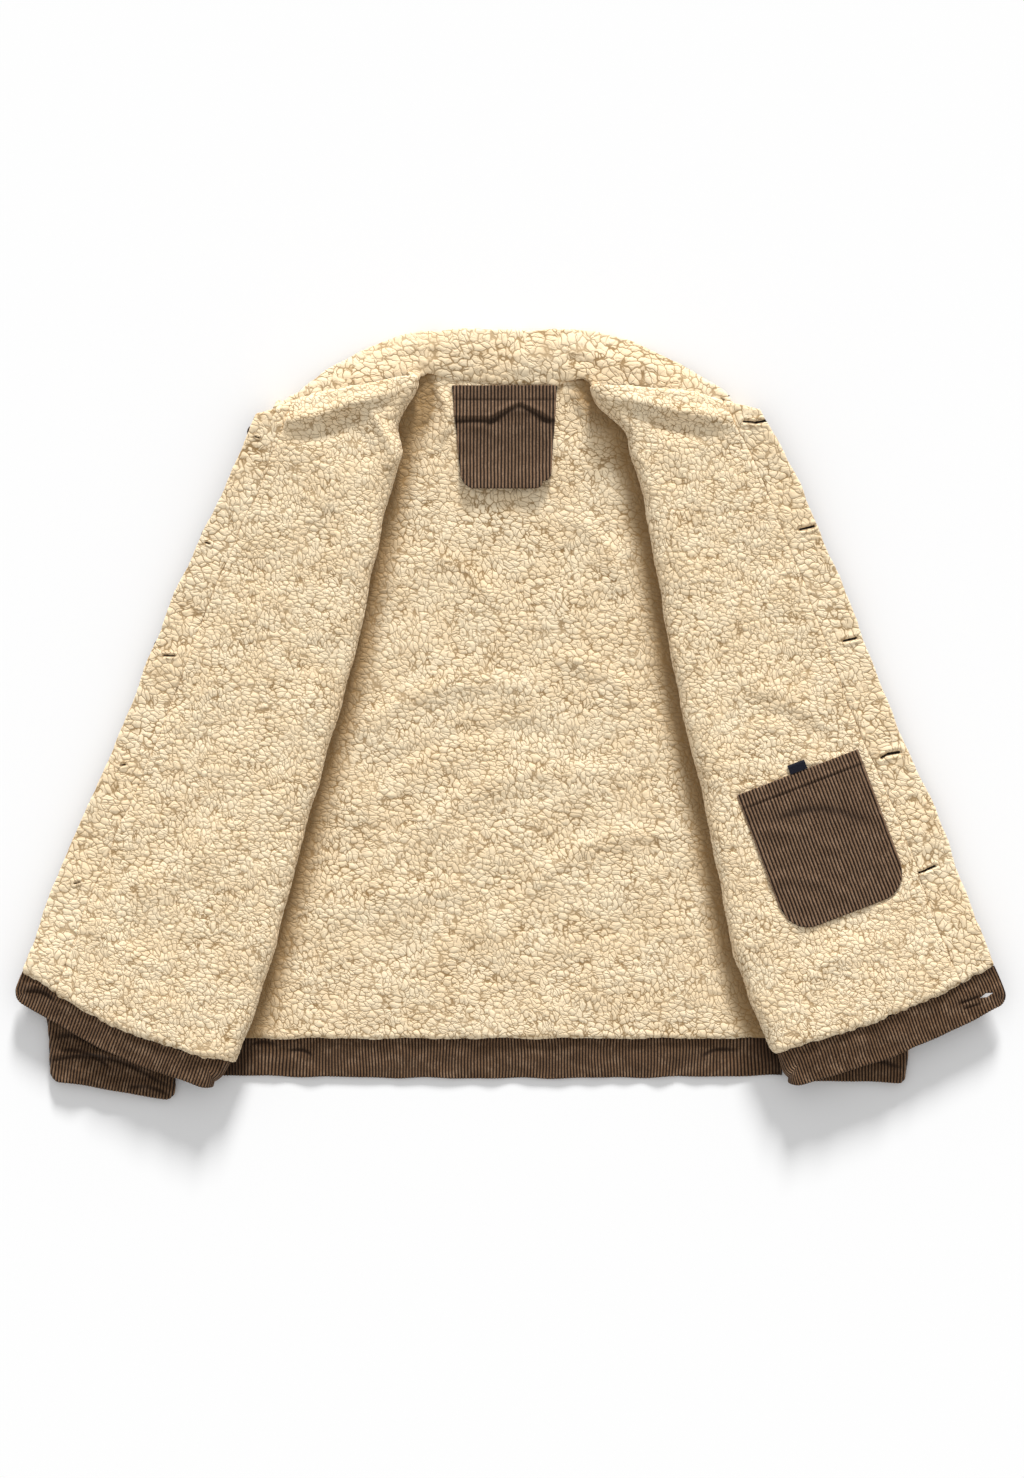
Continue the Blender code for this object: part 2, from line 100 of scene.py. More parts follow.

# Colours, as linear values. Deep and pale ones are mixed in by noise, and the deep cream also as
# painted shade where the pile is low. The crevice and groove colours are painted shade, mixed in by
# the height of the pile or of the ribs, beside the folded fronts and in crease troughs; the groove
# colour also darkens random specks of nap
CREAM = (0.91, 0.720, 0.470)
CREAM_PALE = (0.95, 0.790, 0.550)
CREAM_DEEP = (0.75, 0.545, 0.310)
CREVICE_SHADE = (0.30, 0.18, 0.070)
RIB = (0.208, 0.118, 0.062)
RIB_PALE = (0.330, 0.206, 0.122)
GROOVE = (0.018, 0.008, 0.004)
PATCH_RIB = (0.250, 0.150, 0.087)
PATCH_PALE = (0.320, 0.200, 0.122)
PATCH_GROOVE = (0.018, 0.009, 0.005)
NAVY = (0.004, 0.004, 0.009)
SLIT_SHADE = (0.020, 0.010, 0.005)
BUTTON = (0.030, 0.016, 0.010)

# Camera, light and floor
VIEW_MIDDLE = (0.002, -0.024)
VIEW_HEIGHT = 1.478
CAMERA_HEIGHT = 6.0
SENSOR = 24.0
LIGHT_ELEVATION = 19.0
LIGHT_AZIMUTH = -6.0
LIGHT_STRENGTH = 4.1
LIGHT_SOFTNESS = 11.0
SKY_STRENGTH = 0.62


class Net:
    """Builds nodes in a material's or a geometry's node tree."""

    def __init__(self, tree):
        self.tree = tree

    def node(self, kind, **settings):
        made = self.tree.nodes.new(kind)
        for key, value in settings.items():
            setattr(made, key, value)
        return made

    def feed(self, socket, value):
        if isinstance(value, bpy.types.NodeSocket):
            self.tree.links.new(value, socket)
        else:
            socket.default_value = value

    def math(self, operation, first, second=0.0, third=0.0):
        made = self.node("ShaderNodeMath", operation=operation)
        for socket, value in zip(made.inputs, (first, second, third)):
            self.feed(socket, value)
        return made.outputs[0]

    def vector(self, operation, first, second=(0.0, 0.0, 0.0), scale=None):
        made = self.node("ShaderNodeVectorMath", operation=operation)
        self.feed(made.inputs[0], first)
        self.feed(made.inputs[1], second)
        if scale is not None:
            self.feed(made.inputs["Scale"], scale)
        return made.outputs["Value" if operation == "LENGTH" else "Vector"]

    def noise(self, place, size, detail=2.0, colour=False):
        made = self.node("ShaderNodeTexNoise")
        self.feed(made.inputs["Vector"], place)
        self.feed(made.inputs["Scale"], 1.0 / size)
        self.feed(made.inputs["Detail"], detail)
        return made.outputs["Color" if colour else "Fac"]

    def cells(self, place, size, feature):
        made = self.node("ShaderNodeTexVoronoi", feature=feature)
        self.feed(made.inputs["Vector"], place)
        self.feed(made.inputs["Scale"], 1.0 / size)
        return made

    def smooth(self, value, low, high):
        made = self.node("ShaderNodeMapRange", interpolation_type="SMOOTHSTEP")
        self.feed(made.inputs["Value"], value)
        self.feed(made.inputs["From Min"], low)
        self.feed(made.inputs["From Max"], high)
        return made.outputs["Result"]

    def mix(self, share, first, second):
        made = self.node("ShaderNodeMix", data_type="RGBA")
        self.feed(made.inputs["Factor"], share)
        for socket, value in ((made.inputs[6], first), (made.inputs[7], second)):
            self.feed(socket, (*value, 1.0) if isinstance(value, tuple) else value)
        return made.outputs[2]


def curls(net, place, angle):
    """Round-topped curls lying long at an angle, from 0 between two to 1 on top."""
    turn = net.node("ShaderNodeVectorRotate", rotation_type="Z_AXIS")
    net.feed(turn.inputs["Vector"], place)
    net.feed(turn.inputs["Angle"], angle)
    squeezed = net.vector("MULTIPLY", turn.outputs[0], (CURL_STRETCH, 1.0, 1.0))
    middle = net.cells(squeezed, CURL, "F1").outputs["Distance"]
    edge = net.cells(squeezed, CURL, "DISTANCE_TO_EDGE").outputs["Distance"]
    dome = net.math("SUBTRACT", 1.0, net.math("MULTIPLY", net.math("POWER", middle, 2.0), 1.3))
    dome = net.math("MAXIMUM", dome, 0.30)
    return net.math("MULTIPLY", dome, net.smooth(edge, -0.03, 0.13))


def warped(net, place, size, amount):
    wobble = net.vector("SUBTRACT", net.noise(place, size, 1.0, True), (0.5, 0.5, 0.5))
    return net.vector("ADD", place, net.vector("SCALE", wobble, scale=amount))


def pile_height(net, place):
    """Height of the pile, from 0 to 1, how deep in a crevice a point lies, and the height of
    the ground. Bent curls lie across in most places and upright in others."""
    bent = warped(net, warped(net, place, 0.016, WARP), 0.0050, 0.55 * WARP)
    share = net.smooth(net.noise(place, 0.022, 1.0), 0.50, 0.56)
    both = net.math("ADD", net.math("MULTIPLY", curls(net, bent, 1.35), share),
                    net.math("MULTIPLY", curls(net, bent, 0.25), net.math("SUBTRACT", 1.0, share)))
    worm = net.math("ABSOLUTE", net.math("SUBTRACT", net.noise(bent, 0.0068, 0.0), 0.5))
    curl = net.math("MULTIPLY", both, net.smooth(worm, -0.033, 0.046))
    long = net.vector("MULTIPLY", net.vector("ADD", bent, (0.31, 0.17, 0.0)), (0.50, 1.0, 1.0))
    split = net.math("ABSOLUTE", net.math("SUBTRACT", net.noise(long, 0.021, 1.0), 0.5))
    curl = net.math("MULTIPLY", curl, net.smooth(split, -0.017, 0.013))
    swell = net.smooth(net.noise(long, 0.015, 1.0), 0.22, 0.74)
    crevice = net.math("MULTIPLY", net.smooth(curl, 0.40, 0.05),
                       net.math("SUBTRACT", 1.10, net.math("MULTIPLY", swell, 0.45)))
    height = net.math("MULTIPLY_ADD", curl, 0.66, net.math("MULTIPLY", swell, 0.18))
    ground = net.math("MULTIPLY_ADD", curl, 0.30, net.math("MULTIPLY", swell, 0.34))
    return height, crevice, ground


def rib_height(net, ribs):
    """A rib's height, from 0 in the groove to 1 on its round top, at a count of ribs across."""
    turn = net.math("MULTIPLY", ribs, 2 * math.pi)
    wave = net.math("MULTIPLY_ADD", net.math("COSINE", turn), 0.5, 0.5)
    return net.math("POWER", wave, 0.8)


def principled(name):
    """A dull new material, a Net for its nodes and its shader."""
    made = bpy.data.materials.new(name)
    made.use_nodes = True
    shader = made.node_tree.nodes["Principled BSDF"]
    shader.inputs["Roughness"].default_value = 0.95
    shader.inputs["Specular IOR Level"].default_value = 0.15
    return made, Net(made.node_tree), shader


def bumped(net, shader, height, distance, strength=1.0):
    bump = net.node("ShaderNodeBump")
    net.feed(bump.inputs["Height"], height)
    net.feed(bump.inputs["Distance"], distance)
    net.feed(bump.inputs["Strength"], strength)
    net.feed(shader.inputs["Normal"], bump.outputs[0])


def fleece_material():
    made, net, shader = principled("curly_fleece")
    rest = net.node("ShaderNodeAttribute", attribute_name="rest").outputs["Vector"]
    height, crevice, _ = pile_height(net, rest)
    wide = net.noise(rest, 0.030, 2.0)
    fine = net.noise(rest, 0.0011, 3.0)
    colour = net.mix(net.smooth(wide, 0.35, 0.68), CREAM, CREAM_PALE)
    colour = net.mix(net.math("MULTIPLY", net.smooth(fine, 0.62, 0.30), 0.25), colour, CREAM_DEEP)
    # Painted shade: the deep cream where the pile is low
    low = net.math("MULTIPLY", net.smooth(height, 0.55, 0.12), 0.30)
    colour = net.mix(low, colour, CREAM_DEEP)
    # Painted shade: the crevice colour in the crevices between curls
    colour = net.mix(net.math("MULTIPLY", crevice, 0.88), colour, CREVICE_SHADE)
    # Painted shadow beside the folded fronts and in a spot left of the patch
    painted_shade = net.node("ShaderNodeAttribute", attribute_name="painted_shade").outputs["Fac"]
    colour = net.mix(net.math("MULTIPLY", painted_shade, 0.90), colour, CREVICE_SHADE)
    # Painted shade inside the buttonhole slits
    parted = net.node("ShaderNodeAttribute", attribute_name="parted").outputs["Fac"]
    colour = net.mix(net.smooth(parted, 0.45, 0.75), colour, SLIT_SHADE)
    net.feed(shader.inputs["Base Color"], colour)
    shader.inputs["Sheen Weight"].default_value = 0.12
    shader.inputs["Sheen Roughness"].default_value = 0.6
    relief = net.math("MULTIPLY_ADD", fine, 0.15, height)
    bumped(net, shader, relief, PILE_BUMP, 0.75)
    return made


def corduroy_material(name, rib, rib_pale, groove):
    made, net, shader = principled(name)
    ribs = net.node("ShaderNodeAttribute", attribute_name="wale").outputs["Fac"]
    rest = net.node("ShaderNodeAttribute", attribute_name="rest").outputs["Vector"]
    drift = net.math("SUBTRACT", net.noise(rest, 0.020, 2.0), 0.5)
    height = rib_height(net, net.math("MULTIPLY_ADD", drift, 0.35, ribs))
    nap = net.noise(rest, 0.0009, 3.0)
    worn = net.smooth(net.noise(rest, 0.010, 3.0), 0.44, 0.70)
    colour = net.mix(worn, rib, rib_pale)
    colour = net.mix(net.math("MULTIPLY", net.smooth(nap, 0.60, 0.30), 0.55), colour, groove)
    # Painted shade: the groove colour in the grooves between ribs
    colour = net.mix(net.smooth(height, 0.82, 0.22), colour, groove)
    # Painted shade beside the folded fronts and in crease troughs
    painted_shade = net.node("ShaderNodeAttribute", attribute_name="painted_shade").outputs["Fac"]
    colour = net.mix(net.math("MULTIPLY", painted_shade, 0.72), colour, groove)
    net.feed(shader.inputs["Base Color"], colour)
    shader.inputs["Sheen Weight"].default_value = 0.12
    shader.inputs["Sheen Roughness"].default_value = 0.45
    relief = net.math("MULTIPLY_ADD", nap, 0.30, height)
    bumped(net, shader, relief, RIB_BUMP, 0.9)
    return made


def plain_material(name, colour, roughness, grain):
    made, net, shader = principled(name)
    place = net.node("ShaderNodeTexCoord").outputs["Object"]
    fine = net.noise(place, grain, 3.0)
    pale = tuple(min(1.0, part * 1.8 + 0.01) for part in colour)
    net.feed(shader.inputs["Base Color"], net.mix(net.smooth(fine, 0.35, 0.75), colour, pale))
    shader.inputs["Roughness"].default_value = roughness
    bumped(net, shader, fine, 0.0002, 0.5)
    return made


def link(obj):
    bpy.context.scene.collection.objects.link(obj)
    return obj


def baked(obj):
    """Replaces an object's mesh with its evaluated one and drops its modifiers."""
    graph = bpy.context.evaluated_depsgraph_get()
    mesh = bpy.data.meshes.new_from_object(
        obj.evaluated_get(graph), preserve_all_data_layers=True, depsgraph=graph
    )
    obj.modifiers.clear()
    obj.data = mesh
    return obj


def rounded_copy(name, node, voxel, rounds):
    """An evenly divided copy of a CAD solid, its edges rounded by smoothing."""
    mesh = NODES[node].data.copy()
    mesh.materials.clear()
    obj = link(bpy.data.objects.new(name, mesh))
    remesh = obj.modifiers.new("remesh", "REMESH")
    remesh.mode = "VOXEL"
    remesh.voxel_size = voxel
    smooth = obj.modifiers.new("smooth", "SMOOTH")
    smooth.iterations = rounds
    smooth.factor = 0.5
    return baked(obj)


def read(mesh, name, width=3):
    values = np.empty(len(mesh.vertices) * width, np.float32)
    if name == "co":
        mesh.vertices.foreach_get("co", values)
    elif name == "normal":
        mesh.vertex_normals.foreach_get("vector", values)
    return values.reshape(-1, width).astype(float)


def write(mesh, name, values):
    if name == "co":
        mesh.vertices.foreach_set("co", values.astype(np.float32).ravel())
        mesh.update()
        return
    kind = "FLOAT_VECTOR" if values.ndim == 2 else "FLOAT"
    layer = mesh.attributes.new(name, kind, "POINT")
    layer.data.foreach_set("vector" if values.ndim == 2 else "value", values.astype(np.float32).ravel())


def neighbours(names):
    """A search tree of these CAD solids."""
    points = []
    faces = []
    for name in sorted(names):
        mesh = NODES[name].data
        start = len(points)
        points += [tuple(vertex.co) for vertex in mesh.vertices]
        faces += [[start + index for index in face.vertices] for face in mesh.polygons]
    return BVHTree.FromPolygons(points, faces)


def distances(points, names, most):
    """Each point's distance from the nearest of these solids, up to most."""
    tree = neighbours(names)
    found = np.full(len(points), most)
    for index, point in enumerate(points):
        hit = tree.find_nearest(point, most)
        if hit[3] is not None:
            found[index] = hit[3]
    return found


def clearance(points, own, joins=()):
    """Each point's distance from the nearest solid that it isn't joined to."""
    return distances(points, set(NODES) - {own, *joins}, CLEAR)


def step(values, low, high):
    """A smooth rise from 0 at low to 1 at high."""
    share = np.clip((values - low) / (high - low), 0.0, 1.0)
    return share * share * (3 - 2 * share)


def ripple(points, size, seed):
    """A smooth uneven field, mostly from -1 to 1, whose bumps are about as wide as size."""
    total = np.zeros(len(points))
    for turn in range(5):
        angle = seed + 2.4 * turn
        way = np.array((math.cos(angle), math.sin(angle)))
        total += np.sin(points[:, :2] @ way * (2 + 0.35 * turn) / size + 1.7 * turn + seed)
    return total / 3


Crease = namedtuple("Crease", "start end width depth bend", defaults=(0.12,))


def creased(points, creases):
    """How far each point rises for a list of soft ridges, or sinks for troughs."""
    rise = np.zeros(len(points))
    for crease in creases:
        start = np.array(crease.start)
        run = np.array(crease.end) - start
        length = np.linalg.norm(run)
        along = (points[:, :2] - start) @ run / length**2
        across = (points[:, :2] - start) @ np.array((-run[1], run[0])) / length
        bow = crease.bend * length * np.sin(math.pi * np.clip(along, 0, 1))
        fade = step(along, -0.12, 0.25) * step(-along, -1.12, -0.75)
        rise += crease.depth * fade * np.exp(-(((across - bow) / crease.width) ** 2))
    return rise


Bulge = namedtuple("Bulge", "x y radius shift")
BULGES = (
    Bulge(-0.093, 0.327, 0.017, 0.0070),
    Bulge(-0.108, 0.290, 0.018, -0.0065),
    Bulge(-0.112, 0.262, 0.014, 0.0035),
    Bulge(0.090, 0.310, 0.016, -0.0065),
    Bulge(0.111, 0.281, 0.016, 0.0070),
)


def wavy(points):
    """Points moved sideways a little, so that no edge of the jacket runs quite straight.
    Every piece but the patches goes through the same field, so that pieces which meet still
    meet. The bulges push the rolled edges in and out beside the neck."""
    x, y = points[:, 0], points[:, 1]
    moved = points.copy()
    moved[:, 0] += WAVE * (np.sin(x / 0.031 + y / 0.014 + 0.6) + 0.8 * np.sin(y / 0.0083 - x / 0.021))
    moved[:, 1] += WAVE * (np.sin(y / 0.027 + x / 0.0135 + 2.1) + 0.7 * np.sin(x / 0.0079 + y / 0.019))
    for bulge in BULGES:
        far = (x - bulge.x) ** 2 + (y - bulge.y) ** 2
        moved[:, 0] += bulge.shift * np.exp(-far / bulge.radius**2)
    return moved


Corner = namedtuple("Corner", "place first second radius")
CORNERS = {
    "waistband_left": (
        Corner((-0.4975, -0.281), (0.832, -0.556), (0.46, 0.89), 0.012),
        Corner((-0.291, -0.376), (-0.963, 0.271), (0.51, 0.86), 0.022),
    ),
    "waistband_right": (
        Corner((0.4975, -0.286), (-0.872, -0.490), (-0.36, 0.93), 0.012),
        Corner((0.270, -0.373), (0.976, 0.217), (-0.21, 0.98), 0.022),
    ),
    "neck_patch": (
        Corner((0.0400, 0.2255), (-1.0, 0.0), (0.067, 1.0), 0.016),
    ),
    "cuff_left": (
        Corner((-0.4575, -0.365), (0.99, -0.16), (-0.08, 1.0), 0.008),
        Corner((-0.336, -0.385), (-0.99, 0.16), (0.07, 1.0), 0.009),
    ),
    "cuff_right": (
        Corner((0.394, -0.367), (-1.0, 0.0), (0.10, 1.0), 0.006),
        Corner((0.289, -0.365), (1.0, 0.0), (0.0, 1.0), 0.006),
    ),
}


def turned_corners(points, corners):
    """Draws in the square corners of a piece, seen from above, to quarters of a circle."""
    for corner in corners:
        basis = np.array((corner.first, corner.second)).T
        local = (points[:, :2] - np.array(corner.place)) @ np.linalg.inv(basis).T / corner.radius - 1.0
        inside = (local < 0).all(axis=1)
        shrink = np.abs(local).max(axis=1) / np.maximum(np.hypot(local[:, 0], local[:, 1]), 1e-9)
        local = (local * np.minimum(shrink, 1.0)[:, None] + 1.0) * corner.radius
        moved = np.array(corner.place) + local @ basis.T
        points[inside, :2] = moved[inside]


def raise_by_nodes(obj, height_in, rise):
    """Moves each point along its stored direction by the node network's height."""
    tree = bpy.data.node_groups.new(obj.name + "_relief", "GeometryNodeTree")
    tree.interface.new_socket("Geometry", in_out="INPUT", socket_type="NodeSocketGeometry")
    tree.interface.new_socket("Geometry", in_out="OUTPUT", socket_type="NodeSocketGeometry")
    net = Net(tree)
    start = net.node("NodeGroupInput")
    end = net.node("NodeGroupOutput")
    push = net.node("GeometryNodeInputNamedAttribute", data_type="FLOAT_VECTOR")
    push.inputs["Name"].default_value = "push"
    height = height_in(net)
    place = net.node("GeometryNodeSetPosition")
    net.feed(place.inputs["Geometry"], start.outputs[0])
    net.feed(
        place.inputs["Offset"],
        net.vector("SCALE", push.outputs["Attribute"], scale=net.math("MULTIPLY", height, rise)),
    )
    net.feed(end.inputs[0], place.outputs[0])
    obj.modifiers.new("relief", "NODES").node_group = tree
    baked(obj)


def named(net, name, kind):
    """A stored attribute, inside a geometry node tree."""
    made = net.node("GeometryNodeInputNamedAttribute", data_type=kind)
    made.inputs["Name"].default_value = name
    return made.outputs["Attribute"]


def ground_height(net):
    """The part of the pile's height that the mesh itself takes."""
    _, _, ground = pile_height(net, named(net, "rest", "FLOAT_VECTOR"))
    return ground


def wale_height(net):
    return rib_height(net, named(net, "wale", "FLOAT"))


def thinned(obj, most):
    """Merges triangles, the flattest first, until at most this many are left."""
    count = sum(len(face.vertices) - 2 for face in obj.data.polygons)
    if count > most:
        cut = obj.modifiers.new("thin", "DECIMATE")
        cut.ratio = most / count
        baked(obj)


def finished(obj, material, node):
    """Gives a piece its material, attaches it to the root and hides the CAD part that it stands for."""
    obj.data.materials.clear()
    obj.data.materials.append(material)
    obj.data.shade_smooth()
    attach(obj, "root")
    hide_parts(node)
    return obj


def hem_direction(node):
    """The plan direction across a waistband, from its seam to its foot."""
    points = np.array([vertex.co[:2] for vertex in NODES[node].data.vertices])
    _, axes = np.linalg.eigh(np.cov(points.T))
    across = axes[:, 0]
    return across if across[1] < 0 else -across


# An edge of fleece that spills over the pieces beside it
Lap = namedtuple("Lap", "nodes way amount reach")


def lapped(points, lap):
    """Draws fleece out over the pieces of a lap, unevenly, where it is near them."""
    way = hem_direction(lap.nodes[0]) if lap.way is None else np.array(lap.way)
    near = 1.0 - distances(points, lap.nodes, lap.reach) / lap.reach
    uneven = 1.0 + 0.22 * ripple(points, 0.0042, 1.0) + 0.22 * ripple(points, 0.011, 3.0)
    points[:, :2] += way * (lap.amount * uneven * np.minimum(1.0, 1.6 * near))[:, None]


def parted(points, normals, slits):
    """Sinks narrow slits into the upper side and raises their lips. Returns how far each
    point lies inside one, from 0 to 1."""
    share = np.zeros(len(points))
    for start, end, width in slits:
        start, run = np.array(start), np.array(end) - np.array(start)
        along = np.clip((points[:, :2] - start) @ run / (run @ run), 0, 1)
        off = np.linalg.norm(points[:, :2] - start - along[:, None] * run, axis=1)
        share = np.maximum(share, np.exp(-((off / width) ** 2)))
        lip = np.exp(-(((off - 2.6 * width) / (1.2 * width)) ** 2))
        points[:, 2] += LIP_RISE * lip * (normals[:, 2] > 0.3)
    points[:, 2] -= SLIT_DEPTH * share * (normals[:, 2] > 0.3)
    return share


LEFT_FLEECE = ("front_lining_left", "front_facing_left")
RIGHT_FLEECE = ("front_lining_right", "front_facing_right")
NECK = ("collar_top", "collar_under")
COLLAR_JOINS = LEFT_FLEECE + RIGHT_FLEECE + ("back_lining",)
LEFT_LAPS = (Lap(("waistband_left",), None, 0.0040, 0.007), Lap(NECK, (-0.22, 0.97), 0.0065, 0.010))
RIGHT_LAPS = (Lap(("waistband_right",), None, 0.0040, 0.007), Lap(NECK, (0.20, 0.98), 0.0065, 0.010))
BACK_LAPS = (Lap(("waistband_back",), None, 0.0012, 0.007), Lap(NECK, (0.0, 1.0), 0.0040, 0.008))
COLLAR_LAPS = (
    Lap(LEFT_FLEECE, (0.10, -0.99), 0.0085, 0.014),
    Lap(RIGHT_FLEECE, (-0.10, -0.99), 0.0095, 0.014),
    Lap(("neck_patch",), (0.0, -1.0), 0.0035, 0.008),
    Lap(("front_facing_left",), (-0.95, -0.30), 0.0060, 0.014),
)

# A fleece piece: its CAD node, the spacing of its points, its most triangles, how fine its
# curls are, its laps, the pieces that it runs into, its flat size, how it is held and what it
# lies on
Fleece = namedtuple("Fleece", "node voxel most grain laps joins flat held rests")
FLEECES = (
    Fleece("back_lining", 0.0018, 160000, 1.0, BACK_LAPS, NECK,
           (0.564, 0.662), "laid", "back_shell"),
    Fleece("front_lining_left", 0.00155, 140000, 1.12, LEFT_LAPS,
           LEFT_FLEECE + NECK, (0.320, 0.690), "folded", "front_shell_left"),
    Fleece("front_lining_right", 0.00155, 140000, 1.12, RIGHT_LAPS,
           RIGHT_FLEECE + NECK, (0.320, 0.690), "folded", "front_shell_right"),
    Fleece("front_facing_left", 0.00125, 40000, 0.85, LEFT_LAPS,
           LEFT_FLEECE + NECK, (0.041, 0.640), "laid", "front_shell_left"),
    Fleece("front_facing_right", 0.00125, 40000, 0.85, RIGHT_LAPS,
           RIGHT_FLEECE + NECK, (0.041, 0.640), "laid", "front_shell_right"),
    Fleece("collar_top", 0.0014, 60000, 0.72, COLLAR_LAPS, COLLAR_JOINS,
           (0.455, 0.075), "laid", "collar_under"),
)
SLITS = {
    "front_facing_right": (
        ((0.233, 0.2925), (0.246, 0.2910), 0.0011),
        ((0.245, 0.2910), (0.256, 0.2930), 0.0015),
        ((0.289, 0.1850), (0.303, 0.1885), 0.0014),
        ((0.333, 0.0740), (0.346, 0.0775), 0.0013),
        ((0.370, -0.0430), (0.377, -0.0385), 0.0013),
        ((0.377, -0.0390), (0.388, -0.0365), 0.0019),
        ((0.403, -0.1585), (0.413, -0.1560), 0.0012),
        ((0.413, -0.1560), (0.424, -0.1510), 0.0015),
    ),
    "front_facing_left": (
        ((-0.254, 0.277), (-0.249, 0.275), 0.0006),
        ((-0.303, 0.172), (-0.299, 0.171), 0.0009),
        ((-0.345, 0.060), (-0.334, 0.060), 0.0010),
        ((-0.388, -0.050), (-0.383, -0.049), 0.0009),
        ((-0.434, -0.168), (-0.429, -0.167), 0.0009),
    ),
}
